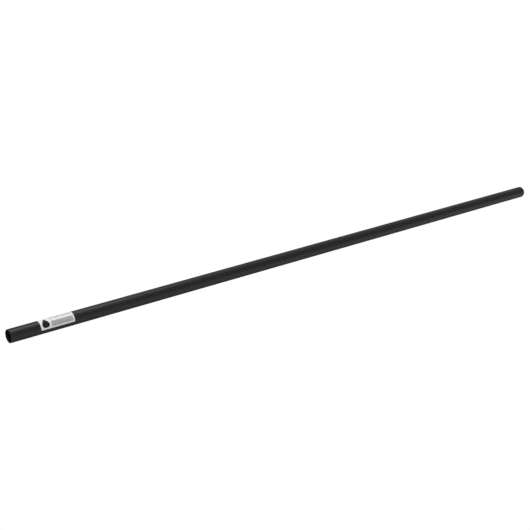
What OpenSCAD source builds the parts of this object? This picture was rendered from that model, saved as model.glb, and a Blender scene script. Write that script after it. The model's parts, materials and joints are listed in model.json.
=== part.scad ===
// Roller extension pole: a thin steel tube in a black plastic skin, open at the end that takes
// the paint roller, closed at the grip end by a push-in plug, with a sales label near the mouth.
// The pole lies along +X. Its origin is the centre of the open mouth.

/* [Pole] */
// Length over everything, from the lip of the mouth to the face of the end plug
pole_length = 1200; // [200:10:3000]
// Outside diameter, over the plastic skin
pole_d = 22; // [18:0.5:40]
// Wall of the steel tube
tube_wall = 0.6; // [0.4:0.1:1.2]
// Height of the weld seam that runs along the inside of the tube
seam_h = 0.15; // [0.05:0.05:0.3]
// Width of the weld seam
seam_w = 1.2; // [0.6:0.1:3]
// Place of the weld seam round the tube: 0 is the top, 90 the front
seam_turn = -60; // [-180:5:180]

/* [Skin] */
// Thickness of the plastic skin
skin_t = 0.3; // [0.2:0.05:0.5]
// How far the skin is tucked back inside the mouth, past its lip
tuck_depth = 15; // [5:1:40]

/* [End plug] */
// Length of the head that stays outside the tube
head_length = 8.5; // [7.5:0.1:20]
// Rounding of the head's outer end
head_round = 3.8; // [1:0.1:6]
// Rounding of the edge where the head meets the skin
shoulder_round = 0.5; // [0.2:0.1:1]
// Thickness of the head's end wall
head_wall = 3; // [2:0.1:5]
// Length of the hollow spigot inside the tube
spigot_length = 24; // [12:1:40]
// Wall of the spigot
spigot_wall = 1.5; // [1:0.1:2.5]
// Height of the ring fins that hold the plug in the tube
fin_h = 1.1; // [0.6:0.1:1.5]
// Number of ring fins
fin_count = 4; // [2:1:5]

/* [Label] */
// Distance from the mouth to the label
label_start = 50; // [20:1:80]
// Length of the label along the pole
label_length = 58.5; // [30:0.5:90]
// How far the label wraps round the pole, in degrees
label_wrap = 250; // [90:5:340]
// Where the middle of the label faces: 0 is the top, 90 the front
label_turn = -30; // [-180:5:180]
// Thickness of the label
label_t = 0.1; // [0.05:0.05:0.2]
// Rounding of the label's corners
label_corner = 1; // [0.5:0.5:4]

/* [Hidden] */
$fn = 128;

layer_gap = 0.01;    // between surfaces that touch on the real pole
fin_gap = 0.03;      // round the fins, which press on the tube on the real pole
shoulder_gap = 0.02; // under the head of the plug
cut_past = 1;        // how far a cutting shape reaches past what it cuts

pole_r = pole_d / 2;
tube_r = pole_r - skin_t - layer_gap;
bore_r = tube_r - tube_wall;
mouth_r = bore_r - layer_gap - skin_t;
lip_r = (pole_r - mouth_r) / 2;   // the skin turns over the tube's rim in a half round
lip_mid_r = (pole_r + mouth_r) / 2;
shoulder_x = pole_length - head_length;
tube_end_x = shoulder_x - shoulder_gap;

spigot_r = bore_r - fin_gap - fin_h;
hollow_r = spigot_r - spigot_wall;
fin_pitch = spigot_length / (fin_count + 0.5);
fin_slope = 1.6; // length of a fin's lead-in
fin_flat = 0.5;  // width of a fin's rim
tip_taper = 0.8; // lead-in at the spigot's inner end
hollow_taper = 2; // narrowing at the closed end of the hollow

seam_start_x = tuck_depth + 3;                  // the seam is reamed away at both ends,
seam_end_x = tube_end_x - spigot_length - 3;    // where the skin and the plug go in

label_r = pole_r + layer_gap;
corner_meet = 1.02; // the label's corner arcs meet its edges at a slight angle, which leaves no slivers

// Shapes are drawn standing on Z and laid down with Z along the pole
module along_pole() rotate([0, 90, 0]) children();

// Turns a shape from local +X to its place round the pole: 0 is the top, 90 the front
module facing(turn) rotate([0, 0, 180 + turn]) children();

// A ring in section: a rectangle between two radii and two places along the pole
module band(inner_r, outer_r, from_x, to_x)
    translate([inner_r, from_x]) square([outer_r - inner_r, to_x - from_x]);

// A quarter disc whose round side faces outward and away from (sign 1) or to (sign -1) the mouth
module quarter(r, centre_r, centre_x, sign)
    translate([centre_r, centre_x])
        intersection() {
            circle(r);
            translate([0, sign > 0 ? 0 : -r]) square(r);
        }

// Welded tube, its rim rounded at the mouth, with the weld seam standing proud inside
module steel_tube() color([0.62, 0.63, 0.64])
    along_pole() {
        rotate_extrude() {
            band(bore_r, tube_r, lip_r, tube_end_x);
            translate([lip_mid_r, lip_r]) circle(tube_wall / 2);
        }
        facing(seam_turn)
            translate([bore_r - seam_h, -seam_w / 2, seam_start_x])
                cube([seam_h + tube_wall / 2, seam_w, seam_end_x - seam_start_x]);
    }

// Skin over the whole tube, turned over the rim of the mouth and tucked inside
module plastic_skin() color([0.13, 0.13, 0.135])
    along_pole()
        rotate_extrude() {
            band(pole_r - skin_t, pole_r, lip_r, tube_end_x);
            band(mouth_r, mouth_r + skin_t, lip_r, tuck_depth);
            translate([lip_mid_r, lip_r])
                difference() {
                    circle(lip_r);
                    circle(lip_r - skin_t);
                    translate([-pole_r, 0]) square(pole_d);
                }
        }

// Section of the plug's outside
module plug_outline() {
    band(0, pole_r, shoulder_x + shoulder_round, pole_length - head_round);
    band(0, pole_r - head_round, pole_length - head_round - cut_past, pole_length);
    quarter(head_round, pole_r - head_round, pole_length - head_round, 1);
    band(0, pole_r - shoulder_round, shoulder_x, shoulder_x + shoulder_round + cut_past);
    quarter(shoulder_round, pole_r - shoulder_round, shoulder_x + shoulder_round, -1);
    translate([0, shoulder_x - spigot_length])
        polygon([
            [0, 0], [spigot_r - tip_taper, 0], [spigot_r, tip_taper],
            [spigot_r, spigot_length + cut_past], [0, spigot_length + cut_past]
        ]);
    for (i = [1 : fin_count])
        translate([0, shoulder_x - i * fin_pitch])
            polygon([
                [spigot_r - cut_past, -fin_slope], [spigot_r, -fin_slope],
                [spigot_r + fin_h, 0], [spigot_r + fin_h, fin_flat],
                [spigot_r, fin_flat + fin_h / 4], [spigot_r - cut_past, fin_flat + fin_h / 4]
            ]);
}

// Section of the hollow that opens at the spigot's inner end
module plug_hollow() {
    hollow_end_x = pole_length - head_wall;
    polygon([
        [0, shoulder_x - spigot_length - cut_past], [hollow_r, shoulder_x - spigot_length - cut_past],
        [hollow_r, hollow_end_x - hollow_taper], [hollow_r - hollow_taper, hollow_end_x],
        [0, hollow_end_x]
    ]);
}

// Plug with a flush rounded head and a hollow finned spigot
module end_plug() color([0.10, 0.10, 0.105])
    along_pole()
        rotate_extrude()
            difference() {
                plug_outline();
                plug_hollow();
            }

// The waste outside one rounded corner, at the origin and reaching along +X and +Y
module corner_waste()
    difference() {
        translate([-cut_past, -cut_past]) square(label_corner + cut_past);
        translate([label_corner, label_corner]) circle(label_corner * corner_meet);
    }

// Self-adhesive label wrapped over the top of the skin
module label() color([0.93, 0.93, 0.92])
    along_pole()
        difference() {
            facing(label_turn - label_wrap / 2)
                rotate_extrude(angle = label_wrap)
                    band(label_r, label_r + label_t, label_start, label_start + label_length);
            for (side = [-1, 1], end = [0, 1])
                facing(label_turn + side * label_wrap / 2)
                    translate([label_r - cut_past, 0, label_start + end * label_length])
                        mirror([0, side > 0 ? 1 : 0, 0])
                            mirror([0, 0, end])
                                rotate([90, 0, 90])
                                    linear_extrude(label_t + 2 * cut_past)
                                        corner_waste();
        }

steel_tube();
plastic_skin();
end_plug();
label();
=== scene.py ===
"""Looks of a roller extension pole: a steel tube in a black plastic skin, an end plug and a label.

Everything is in metres, in the frame of the CAD model: the pole lies along +X from its open mouth at
the origin, and +Z is up. Turns round the pole are in degrees, 0 at the top and 90 at the front (-Y).
"""

import json
import math
import random

import bmesh
import bpy
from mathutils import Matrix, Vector


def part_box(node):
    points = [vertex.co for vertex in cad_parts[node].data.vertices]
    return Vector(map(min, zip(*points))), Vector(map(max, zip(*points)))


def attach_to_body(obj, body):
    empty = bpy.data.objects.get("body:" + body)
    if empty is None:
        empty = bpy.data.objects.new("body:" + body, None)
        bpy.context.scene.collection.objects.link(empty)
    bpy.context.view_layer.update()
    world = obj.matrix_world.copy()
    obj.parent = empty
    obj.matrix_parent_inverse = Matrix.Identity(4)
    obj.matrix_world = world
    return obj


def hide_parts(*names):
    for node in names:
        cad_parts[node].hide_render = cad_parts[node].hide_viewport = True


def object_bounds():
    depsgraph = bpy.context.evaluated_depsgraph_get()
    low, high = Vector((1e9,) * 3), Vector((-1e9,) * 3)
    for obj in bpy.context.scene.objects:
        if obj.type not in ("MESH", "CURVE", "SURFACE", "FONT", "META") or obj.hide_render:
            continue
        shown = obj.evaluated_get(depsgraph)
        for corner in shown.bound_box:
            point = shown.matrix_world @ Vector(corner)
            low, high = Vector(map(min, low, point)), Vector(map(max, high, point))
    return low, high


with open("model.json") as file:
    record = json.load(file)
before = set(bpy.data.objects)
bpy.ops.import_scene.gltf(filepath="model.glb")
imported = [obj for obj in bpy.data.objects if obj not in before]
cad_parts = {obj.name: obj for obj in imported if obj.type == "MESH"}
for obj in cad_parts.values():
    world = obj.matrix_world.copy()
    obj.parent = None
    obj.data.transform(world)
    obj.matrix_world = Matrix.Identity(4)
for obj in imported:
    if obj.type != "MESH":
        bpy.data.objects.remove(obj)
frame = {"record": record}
cad_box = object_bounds()

# ---------------------------------------------------------------- sizes

MM = 0.001

# Sizes and places from the frame
mounts = {mount["name"]: mount for mount in frame["record"]["mounts"]}
pole_r = mounts["pole_outside"]["dims"]["r_mm"] * MM
mouth_r = mounts["roller_socket"]["dims"]["r_mm"] * MM
skin_end_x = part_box("plastic_skin")[1][0]
tube_low, tube_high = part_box("steel_tube")
plug_low, plug_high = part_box("end_plug")
label_low, label_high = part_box("label")

# Sizes that the boxes don't show; each is the same in the CAD model
GAP = 0.01 * MM               # between the tube, the skin and the label
SKIN_T = 0.3 * MM             # thickness of the skin
TUCK_DEPTH = 15 * MM          # how far the skin is tucked into the mouth
SEAM_H = 0.15 * MM            # height of the tube's weld seam
SEAM_W = 1.2 * MM             # its width
SEAM_TURN = -60               # its place round the tube
SEAM_CLEAR = 3 * MM           # from its ends to the tucked skin and to the plug
HEAD_LENGTH = 8.5 * MM        # the part of the plug outside the tube
HEAD_ROUND = 3.8 * MM         # rounding of the head's outer end
HEAD_WALL = 3 * MM            # thickness of the head's end wall
SHOULDER_ROUND = 0.5 * MM     # rounding of the head's edge next to the skin
SPIGOT_WALL = 1.5 * MM        # wall of the plug's hollow spigot
TIP_TAPER = 0.8 * MM          # lead-in at the spigot's inner end
HOLLOW_TAPER = 2 * MM         # narrowing at the closed end of the hollow
FIN_COUNT = 4                 # ring fins on the spigot
FIN_GAP = 0.03 * MM           # between the fins and the tube
FIN_H = 1.1 * MM              # height of a fin
FIN_SLOPE = 1.6 * MM          # length of its lead-in
FIN_FLAT = 0.5 * MM           # width of its rim
FIN_BACK = FIN_H / 4          # length of its back
LABEL_T = 0.1 * MM            # thickness of the label
LABEL_WRAP = 250              # how far it wraps round the pole
LABEL_TURN = -30              # where its middle faces
LABEL_CORNER = 1 * MM         # rounding of its corners

# Small details that only these meshes have
GATE_R = 1.6 * MM             # the gate mark left by moulding, a dimple in the plug's face
GATE_FLOOR_R = 0.85 * GATE_R
GATE_DEPTH = 0.3 * MM
NUB_R = 0.5 * MM              # the nub left in the middle of the dimple
NUB_TOP_R = 0.7 * NUB_R
NUB_H = 0.15 * MM
INK_T = 0.008 * MM            # thickness of the print on the label
INK_GAP = 0.004 * MM          # under each layer of print

tube_r = tube_high[2]         # the CAD mesh has facets, but it reaches its full radius along Z
bore_r = mouth_r + SKIN_T + GAP
lip_r = (pole_r - mouth_r) / 2    # the skin turns over the tube's rim in a half round
lip_mid_r = (pole_r + mouth_r) / 2
label_outer_r = pole_r + GAP + LABEL_T
degree = math.radians(1) * label_outer_r    # length of one degree round the label

SEGMENTS = 160                # faces round the pole
SKIN_RINGS = 60               # faces along the skin's outside
SHEET_PITCH = 0.35 * MM       # spacing of points round a wrapped sheet
SHEET_STRIDE = 1.4 * MM       # spacing of points along it
CORNER_STEPS = 6              # rows of faces in its rounded corners
SMOOTH_ANGLE = 32             # an edge sharper than this stays a hard edge

# ---------------------------------------------------------------- mesh helpers


def spread(start, end, steps):
    """Evenly spread values from start to end, both included."""
    return [start + (end - start) * i / steps for i in range(steps + 1)]


def arc(centre_x, centre_r, radius, start, end, steps):
    """Points of an arc in a (x, r) section, from one angle to another in degrees, 0 along the pole."""
    angles = [math.radians(angle) for angle in spread(start, end, steps)]
    return [(centre_x + radius * math.cos(a), centre_r + radius * math.sin(a)) for a in angles]


def place(x, r, turn):
    """The point at that distance along the pole, radius and turn."""
    a = math.radians(turn)
    return Vector((x, -r * math.sin(a), r * math.cos(a)))


def finish_mesh(name, bm):
    """Turns a bmesh into a smooth-shaded object whose sharp edges stay sharp."""
    bmesh.ops.recalc_face_normals(bm, faces=bm.faces)
    mesh = bpy.data.meshes.new(name)
    bm.to_mesh(mesh)
    bm.free()
    mesh.shade_smooth()
    mesh.set_sharp_from_angle(angle=math.radians(SMOOTH_ANGLE))
    obj = bpy.data.objects.new(name, mesh)
    bpy.context.scene.collection.objects.link(obj)
    return obj


def lathe(name, section, closed, relief=None):
    """Turns a section of (x, r) points round the pole. A closed section is a ring; an open one starts
    and ends on the axis. relief(x, r, turn) may give a point another radius."""
    bm = bmesh.new()
    turns = spread(0, 360, SEGMENTS)[:-1]
    rings = []
    for x, r in section:
        if r == 0:
            rings.append([bm.verts.new((x, 0, 0))] * SEGMENTS)
        else:
            radii = [relief(x, r, t) if relief else r for t in turns]
            rings.append([bm.verts.new(place(x, q, t)) for q, t in zip(radii, turns)])
    pairs = list(zip(rings, rings[1:]))
    if closed:
        pairs.append((rings[-1], rings[0]))
    for near, far in pairs:
        for i in range(SEGMENTS):
            j = (i + 1) % SEGMENTS
            corners = dict.fromkeys((near[i], near[j], far[j], far[i]))
            bm.faces.new(corners)
    return finish_mesh(name, bm)


def block(x_low, x_high, turn_low, turn_high, corner=0.0):
    """Rows of (x, turn) points over a rectangle, its corners square or rounded, close enough together
    to follow the pole's curve."""
    height = (turn_high - turn_low) * degree
    straight_rows = max(1, round((height - 2 * corner) / SHEET_PITCH))
    columns = max(1, round((x_high - x_low) / SHEET_STRIDE))
    offsets = spread(corner, height - corner, straight_rows)
    if corner:
        bend = [corner * (1 - math.cos(math.radians(a))) for a in spread(0, 90, CORNER_STEPS)[:-1]]
        offsets = bend + offsets + [height - b for b in reversed(bend)]
    rows = []
    for offset in offsets:
        depth = max(corner - offset, offset - height + corner, 0)
        inset = corner - math.sqrt(max(corner**2 - depth**2, 0))
        turn = turn_low + offset / degree
        rows.append([(x, turn) for x in spread(x_low + inset, x_high - inset, columns)])
    return rows


def add_wrapped_sheet(bm, grid, inner_r, outer_r):
    """Adds a closed sheet to bm, from rows of (x, turn) points wrapped round the pole."""
    top = [[bm.verts.new(place(x, outer_r, t)) for x, t in row] for row in grid]
    bottom = [[bm.verts.new(place(x, inner_r, t)) for x, t in row] for row in grid]
    last_row = len(grid) - 1
    last_column = len(grid[0]) - 1
    for i in range(last_row):
        for j in range(last_column):
            for side in (top, bottom):
                bm.faces.new((side[i][j], side[i + 1][j], side[i + 1][j + 1], side[i][j + 1]))
    rim = [(i, 0) for i in range(last_row)]
    rim += [(last_row, j) for j in range(last_column)]
    rim += [(i, last_column) for i in range(last_row, 0, -1)]
    rim += [(0, j) for j in range(last_column, 0, -1)]
    for (i, j), (k, m) in zip(rim, rim[1:] + rim[:1]):
        bm.faces.new((top[i][j], top[k][m], bottom[k][m], bottom[i][j]))


# ---------------------------------------------------------------- material helpers


class Nodes:
    """Short names for building a node tree."""

    def __init__(self, tree):
        self.tree = tree
        tree.nodes.clear()

    def add(self, kind, **values):
        """A node of that kind. A value is set on an input of that name, or else on the node itself."""
        node = self.tree.nodes.new(kind)
        for key, value in values.items():
            label = key.replace("_", " ").title()
            if label in node.inputs:
                self.put(value, node.inputs[label])
            else:
                setattr(node, key, value)
        return node

    def put(self, value, socket):
        """Sets an input to a value or links it to another node's output."""
        if isinstance(value, bpy.types.NodeSocket):
            self.tree.links.new(value, socket)
        else:
            socket.default_value = value

    def math(self, operation, a, b):
        """The result of a maths operation on two values."""
        node = self.add("ShaderNodeMath", operation=operation)
        self.put(a, node.inputs[0])
        self.put(b, node.inputs[1])
        return node.outputs[0]

    def noise(self, scale, detail=2.0):
        """Noise with that many cells a metre along each axis, from 0 to 1."""
        coordinates = self.add("ShaderNodeTexCoord").outputs["Object"]
        stretched = self.add("ShaderNodeMapping", vector=coordinates, scale=scale).outputs[0]
        return self.add("ShaderNodeTexNoise", vector=stretched, scale=1.0, detail=detail).outputs["Fac"]

    def ramp(self, value, low, high, out_low, out_high):
        """Maps low..high to out_low..out_high, and stays level outside."""
        node = self.add("ShaderNodeMapRange")
        for number, socket in zip((value, low, high, out_low, out_high), node.inputs):
            self.put(number, socket)
        return node.outputs[0]

    def mix(self, amount, a, b):
        """Blends two colours."""
        node = self.add("ShaderNodeMix", data_type="RGBA")
        for value, socket in ((amount, node.inputs[0]), (a, node.inputs[6]), (b, node.inputs[7])):
            self.put(value, socket)
        return node.outputs[2]

    def bump(self, height, distance, over=None):
        """Relief of that depth, over another relief if one is given."""
        node = self.add("ShaderNodeBump", distance=distance, height=height)
        if over is not None:
            self.put(over, node.inputs["Normal"])
        return node.outputs[0]


def material(name, build):
    """A node-based material; build(nodes) returns the settings of its Principled shader."""
    mat = bpy.data.materials.new(name)
    mat.use_nodes = True
    nodes = Nodes(mat.node_tree)
    shader = nodes.add("ShaderNodeBsdfPrincipled")
    for key, value in build(nodes).items():
        nodes.put(value, shader.inputs[key])
    output = nodes.add("ShaderNodeOutputMaterial")
    nodes.put(shader.outputs[0], output.inputs["Surface"])
    return mat


def grey(value):
    """A grey of that linear value."""
    return (value, value, value, 1.0)


# ---------------------------------------------------------------- materials


def black_skin(nodes):
    """Satin black plastic drawn along the tube: faint lines lengthways, uneven sheen and light rubs."""
    lines = nodes.noise((5, 1100, 1100), detail=3)
    ripple = nodes.noise((90, 420, 420))
    grain = nodes.noise((2600, 2600, 2600), detail=3)
    patches = nodes.noise((14, 90, 90), detail=4)
    rubs = nodes.ramp(nodes.noise((160, 900, 900), detail=5), 0.62, 0.76, 0, 1)
    plastic = nodes.mix(patches, grey(0.0062), grey(0.008))
    sheen = nodes.ramp(patches, 0.3, 0.7, 0.31, 0.37)
    sheen = nodes.math("ADD", sheen, nodes.math("MULTIPLY", lines, 0.03))
    drawn = nodes.bump(lines, 0.04 * MM)
    uneven = nodes.bump(ripple, 0.035 * MM, over=drawn)
    return {
        "Base Color": nodes.mix(rubs, plastic, grey(0.012)),
        "Roughness": nodes.math("ADD", sheen, nodes.math("MULTIPLY", rubs, 0.07)),
        "Specular IOR Level": 0.5,
        "Normal": nodes.bump(grain, 0.014 * MM, over=uneven),
    }


def black_plug(nodes):
    """Moulded black plastic, a little duller than the skin, with a spark-eroded grain."""
    grain = nodes.noise((1900, 1900, 1900), detail=4)
    patches = nodes.noise((160, 160, 160))
    sheen = nodes.ramp(patches, 0.3, 0.7, 0.36, 0.42)
    return {
        "Base Color": nodes.mix(patches, grey(0.006), grey(0.009)),
        "Roughness": nodes.math("ADD", sheen, nodes.math("MULTIPLY", grain, 0.1)),
        "Specular IOR Level": 0.5,
        "Normal": nodes.bump(grain, 0.04 * MM),
    }


def galvanised_steel(nodes):
    """Rolled strip: dull zinc with lines along the tube and faint clouding."""
    lines = nodes.noise((4, 2200, 2200))
    cloud = nodes.noise((60, 260, 260), detail=4)
    return {
        "Base Color": nodes.mix(cloud, grey(0.42), grey(0.6)),
        "Metallic": 1.0,
        "Roughness": nodes.ramp(cloud, 0.3, 0.7, 0.34, 0.5),
        "Normal": nodes.bump(lines, 0.02 * MM),
    }


def label_film(nodes):
    """White coated paper with a faint fibre texture."""
    fibre = nodes.noise((1200, 1200, 1200), detail=4)
    return {
        "Base Color": nodes.mix(fibre, grey(0.88), grey(0.92)),
        "Roughness": nodes.ramp(fibre, 0.3, 0.7, 0.42, 0.55),
        "Normal": nodes.bump(fibre, 0.004 * MM),
    }


def printed_ink(value):
    """Matt ink of one grey, slightly uneven as it lies on the label."""

    def build(nodes):
        cover = nodes.noise((1800, 1800, 1800), detail=3)
        return {
            "Base Color": nodes.mix(cover, grey(value * 0.94), grey(value * 1.06)),
            "Roughness": nodes.ramp(cover, 0.3, 0.7, 0.45, 0.6),
            "Specular IOR Level": 0.2,
        }

    return build


# ---------------------------------------------------------------- pieces


def build_skin():
    """The skin over the tube, turned over the rim in a half round and tucked inside the mouth."""
    section = arc(lip_r, lip_mid_r, lip_r, 90, 270, steps=24)
    section += [(TUCK_DEPTH, mouth_r), (TUCK_DEPTH, mouth_r + SKIN_T)]
    section += arc(lip_r, lip_mid_r, lip_r - SKIN_T, 270, 90, steps=12)
    section += [(skin_end_x, pole_r - SKIN_T)]
    section += [(x, pole_r) for x in spread(skin_end_x, lip_r, SKIN_RINGS)[:-1]]
    return lathe("skin", section, closed=True)


def build_tube():
    """The welded tube: its rim rounded at the mouth, and its weld seam a low rounded ridge inside."""
    wall = tube_r - bore_r
    rim_x = tube_low[0] + wall / 2
    end_x = tube_high[0]
    seam_from = TUCK_DEPTH + SEAM_CLEAR
    seam_to = plug_low[0] - SEAM_CLEAR
    fade = 1 * MM

    def seam_ridge(x, r, turn):
        """The radius at a point, which is less on the seam."""
        if r > bore_r or not seam_from <= x <= seam_to:
            return r
        off = abs((turn - SEAM_TURN + 180) % 360 - 180) * math.radians(1) * bore_r
        return r - SEAM_H * max(0.0, math.cos(min(off / SEAM_W, 0.5) * math.pi))

    section = arc(rim_x, (tube_r + bore_r) / 2, wall / 2, 90, 270, steps=12)
    section += [(x, bore_r) for x in (seam_from - fade, seam_from, seam_to, seam_to + fade)]
    section += [(end_x, bore_r), (end_x, tube_r)]
    return lathe("tube", section, closed=True, relief=seam_ridge)


def build_plug():
    """The end plug: a rounded head, ring fins on a hollow spigot, and the gate mark on its face."""
    tip_x, face_x = plug_low[0], plug_high[0]
    shoulder_x = face_x - HEAD_LENGTH
    hollow_end_x = face_x - HEAD_WALL
    gate_x = face_x - GATE_DEPTH
    fin_r = bore_r - FIN_GAP
    spigot_r = fin_r - FIN_H
    hollow_r = spigot_r - SPIGOT_WALL
    pitch = (shoulder_x - tip_x) / (FIN_COUNT + 0.5)

    section = [(hollow_end_x, 0), (hollow_end_x, hollow_r - HOLLOW_TAPER)]
    section += [(hollow_end_x - HOLLOW_TAPER, hollow_r), (tip_x, hollow_r)]
    section += [(tip_x, spigot_r - TIP_TAPER), (tip_x + TIP_TAPER, spigot_r)]
    for i in range(FIN_COUNT, 0, -1):
        fin_x = shoulder_x - i * pitch
        section += [(fin_x - FIN_SLOPE, spigot_r), (fin_x, fin_r)]
        section += [(fin_x + FIN_FLAT, fin_r), (fin_x + FIN_FLAT + FIN_BACK, spigot_r)]
    section += [(shoulder_x, spigot_r)]
    section += arc(shoulder_x + SHOULDER_ROUND, pole_r - SHOULDER_ROUND, SHOULDER_ROUND, 180, 90, steps=8)
    section += arc(face_x - HEAD_ROUND, pole_r - HEAD_ROUND, HEAD_ROUND, 90, 0, steps=24)
    section += [(face_x, GATE_R), (gate_x, GATE_FLOOR_R)]
    section += [(gate_x, NUB_R), (gate_x + NUB_H, NUB_TOP_R), (gate_x + NUB_H, 0)]
    return lathe("plug", section, closed=False)


def build_label():
    """The label sheet, wrapped over the top of the pole."""
    bm = bmesh.new()
    turn_low = LABEL_TURN - LABEL_WRAP / 2
    grid = block(label_low[0], label_high[0], turn_low, turn_low + LABEL_WRAP, LABEL_CORNER)
    add_wrapped_sheet(bm, grid, label_outer_r - LABEL_T, label_outer_r)
    return finish_mesh("label_sheet", bm)


# ---------------------------------------------------------------- print on the label


def paint_drop(centre_x, turn_low, turn_high, width):
    """Rows of (x, turn) points over a plain drop of paint that hangs from turn_low, with blunt ends."""
    rows = 48
    columns = 8
    blunt = 5          # degrees left off each end of the half turn that the outline follows
    taper = 1.5        # the power that makes the drop slender at the top
    fullest = 0.702    # the most that the two sines below multiply to
    points = []
    for angle in spread(blunt, 180 - blunt, rows):
        a = math.radians(angle)
        half = width / 2 * math.sin(a) * math.sin(a / 2) ** taper / fullest
        turn = turn_low + (turn_high - turn_low) * (1 - math.cos(a)) / 2
        points.append([(x, turn) for x in spread(centre_x - half, centre_x + half, columns)])
    return points


def bar_code(x, turn_low, turn_high):
    """Upright bars of four widths, side by side from x on; they stand for no number."""
    draw = random.Random(3)
    strips = 29    # dark and light in turn
    thinnest = 0.25 * MM
    bars = []
    for i in range(strips):
        width = draw.randint(1, 4) * thinnest
        if i % 2 == 0:
            bars.append(block(x, x + width, turn_low, turn_high))
        x += width
    return bars


def lines_of_bars(x_low, x_high, turns, height, longest, seed):
    """Lines of short blank bars of uneven length, where a label has its small print. turns holds the
    middle of each line, and height is the height of one, in degrees too."""
    draw = random.Random(seed)
    bars = []
    for turn in turns:
        x = x_low
        while x < x_high - longest / 2:
            end = min(x + draw.uniform(0.3, 1) * longest, x_high)
            bars.append(block(x, end, turn - height / 2, turn + height / 2))
            x = end + draw.uniform(0.1, 0.25) * longest
    return bars


def label_prints():
    """The ink on the label, by name: its grey, the layer it lies in and its shapes."""
    left = label_low[0] + 18.5 * MM
    right = label_high[0] - 2.2 * MM
    margin = 1 * MM
    drop = paint_drop(label_low[0] + 9.3 * MM, turn_low=-5, turn_high=82, width=12.4 * MM)
    code = bar_code(label_low[0] + 20 * MM, turn_low=-128, turn_high=-84)
    panel = block(left, right, turn_low=37, turn_high=82, corner=0.4 * MM)
    panel_lines = lines_of_bars(
        left + margin, right - margin, range(42, 78, 7), height=4, longest=5 * MM, seed=4
    )
    faint_lines = lines_of_bars(left, right, range(-28, 18, 5), height=3, longest=1.8 * MM, seed=7)
    back_lines = lines_of_bars(left, right, range(-70, -44, 5), height=3, longest=3 * MM, seed=9)
    return {
        "label_print_dark": (0.014, 0, [drop] + code),
        "label_print_panel": (0.54, 0, [panel]),
        "label_print_faint": (0.46, 0, faint_lines),
        "label_print_lines": (0.375, 1, panel_lines),
        "label_print_back": (0.26, 0, back_lines),
    }


def build_print(name, layer, shapes):
    """Ink lying on the label, one thin sheet for each shape; layer 1 lies over layer 0."""
    bm = bmesh.new()
    low_r = label_outer_r + INK_GAP + layer * (INK_T + INK_GAP)
    for shape in shapes:
        add_wrapped_sheet(bm, shape, low_r, low_r + INK_T)
    return finish_mesh(name, bm)


# ---------------------------------------------------------------- studio

PURE_WHITE = 1.02             # just over full white, so the background has no grain

FLOOR_SIZE = 40               # from its middle to each side
FLOOR_DROP = 5 * MM           # the pole is held a little over the floor
FLOOR_NEAR = 0.66             # whiteness of the floor by the mouth, painted shade standing in for less light falling there
FLOOR_FAR = 0.95              # and by the plug's face, painted light standing in for more light falling there

ROOM_LEFT = 0.52              # brightness of the room on the mouth's side
ROOM_RIGHT = 0.33             # and on the plug's side
ROOM_SIDES = (-0.25, 0.52)    # where the left ends and the right begins, as the X of a direction
ROOM_BEHIND = 0.14            # the share of that brightness left low down behind the pole
ROOM_SHADE = (0.21, 0.37)     # where that shade begins and is full, as the Y less the Z of a direction

# Each light: its place, the point it is aimed at, its width and height, and its brightness
SOFTBOXES = {
    "overhead": ((-0.40, 0.36, 1.58), (-0.40, 0.27, 0), (2.95, 1.48), 1.49),
    "far_overhead": ((1.63, 0.55, 0.74), (1.63, 0.10, 0), (2.08, 1.15), 0.18),
    "front_left": ((-1.90, -1.60, 0.77), (0, 0, 0), (2.20, 2.20), 1.0),
}

CAMERA_PLACE = (-0.6692, -1.4461, 0.6944)
CAMERA_TARGET = (0.49398, -0.00424, 0)
CAMERA_LENS = 76.15           # focal length in mm
CAMERA_SENSOR = 36            # width of its sensor in mm


def aim(obj, target):
    """Points an object's -Z at a target."""
    direction = Vector(target) - obj.location
    obj.rotation_euler = direction.to_track_quat("-Z", "Y").to_euler()


def softbox(name, location, target, size, radiance):
    """A rectangular light that the camera doesn't see, of a stated brightness over its face."""
    light = bpy.data.lights.new(name, "AREA")
    light.shape = "RECTANGLE"
    light.size, light.size_y = size
    light.energy = radiance * math.pi * size[0] * size[1]
    obj = bpy.data.objects.new(name, light)
    obj.location = location
    obj.visible_camera = False
    bpy.context.scene.collection.objects.link(obj)
    aim(obj, target)


def white_to_camera(nodes, otherwise):
    """Pure white for what the camera sees, and another shader for all the other light that arrives."""
    glow = nodes.add("ShaderNodeEmission", color=grey(1), strength=PURE_WHITE)
    mix = nodes.add("ShaderNodeMixShader")
    to_camera = nodes.add("ShaderNodeLightPath").outputs["Is Camera Ray"]
    for value, socket in zip((to_camera, otherwise.outputs[0], glow.outputs[0]), mix.inputs):
        nodes.put(value, socket)
    return mix


def build_floor():
    """A plain floor whose whiteness grades up towards the plug, painted light standing in for more light
    falling on it there. It lights the pole from below and is itself seen as pure white."""
    bm = bmesh.new()
    bmesh.ops.create_grid(bm, x_segments=1, y_segments=1, size=FLOOR_SIZE)
    floor = finish_mesh("floor", bm)
    floor.location = (0, 0, cad_box[0][2] - FLOOR_DROP)
    mat = bpy.data.materials.new("floor")
    mat.use_nodes = True
    nodes = Nodes(mat.node_tree)
    coordinates = nodes.add("ShaderNodeTexCoord").outputs["Object"]
    along = nodes.add("ShaderNodeSeparateXYZ", vector=coordinates).outputs["X"]
    # painted light: the floor's whiteness rises from the mouth to the plug, standing in for more light
    # falling on it there
    painted_floor_light = nodes.ramp(along, cad_box[0][0], cad_box[1][0], FLOOR_NEAR, FLOOR_FAR)
    paper = nodes.add("ShaderNodeBsdfDiffuse", color=painted_floor_light)
    output = nodes.add("ShaderNodeOutputMaterial")
    nodes.put(white_to_camera(nodes, paper).outputs[0], output.inputs["Surface"])
    floor.data.materials.append(mat)


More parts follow.
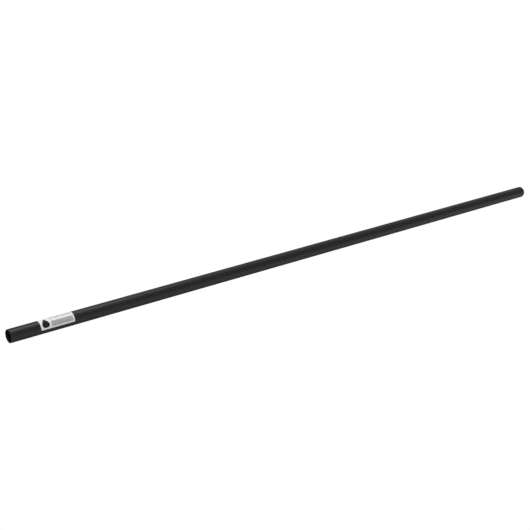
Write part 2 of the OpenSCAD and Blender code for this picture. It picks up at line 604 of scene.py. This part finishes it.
def build_world():
    """The room, brightest on the mouth's side and darkest low down behind, seen as pure white."""
    world = bpy.data.worlds.new("studio")
    world.use_nodes = True
    bpy.context.scene.world = world
    nodes = Nodes(world.node_tree)
    direction = nodes.add("ShaderNodeTexCoord").outputs["Generated"]
    parts = nodes.add("ShaderNodeSeparateXYZ", vector=direction).outputs
    side = nodes.ramp(parts["X"], *ROOM_SIDES, ROOM_LEFT, ROOM_RIGHT)
    back_and_down = nodes.math("SUBTRACT", parts["Y"], parts["Z"])
    shade = nodes.ramp(back_and_down, *ROOM_SHADE, 1, ROOM_BEHIND)
    brightness = nodes.math("MULTIPLY", side, shade)
    room = nodes.add("ShaderNodeBackground", color=grey(1), strength=brightness)
    output = nodes.add("ShaderNodeOutputWorld")
    nodes.put(white_to_camera(nodes, room).outputs[0], output.inputs["Surface"])


def build_camera():
    """The three-quarter view along the pole from near its mouth."""
    camera = bpy.data.cameras.new("camera")
    camera.sensor_width = CAMERA_SENSOR
    camera.lens = CAMERA_LENS
    obj = bpy.data.objects.new("camera", camera)
    obj.location = CAMERA_PLACE
    bpy.context.scene.collection.objects.link(obj)
    aim(obj, CAMERA_TARGET)
    bpy.context.scene.camera = obj


# ---------------------------------------------------------------- assembly


def attach(piece, body, mat):
    """Gives a piece its material and the body it rides on."""
    piece.data.materials.append(mat)
    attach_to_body(piece, body)


# Each piece that stands for a CAD node: the node, its builder, its body, its slot and its material
for node, build, body, slot, look in (
    ("plastic_skin", build_skin, "pole", "black_skin", black_skin),
    ("steel_tube", build_tube, "pole", "galvanised_steel", galvanised_steel),
    ("end_plug", build_plug, "plug", "black_plug", black_plug),
    ("label", build_label, "pole", "label_film", label_film),
):
    piece = build()
    attach(piece, body, material(slot, look))
    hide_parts(node)

for name, (ink, layer, shapes) in label_prints().items():
    piece = build_print(name, layer, shapes)
    attach(piece, "pole", material(name, printed_ink(ink)))

build_floor()
build_world()
for name, (location, target, size, radiance) in SOFTBOXES.items():
    softbox(name, location, target, size, radiance)
build_camera()
bpy.context.scene.view_settings.view_transform = "Standard"
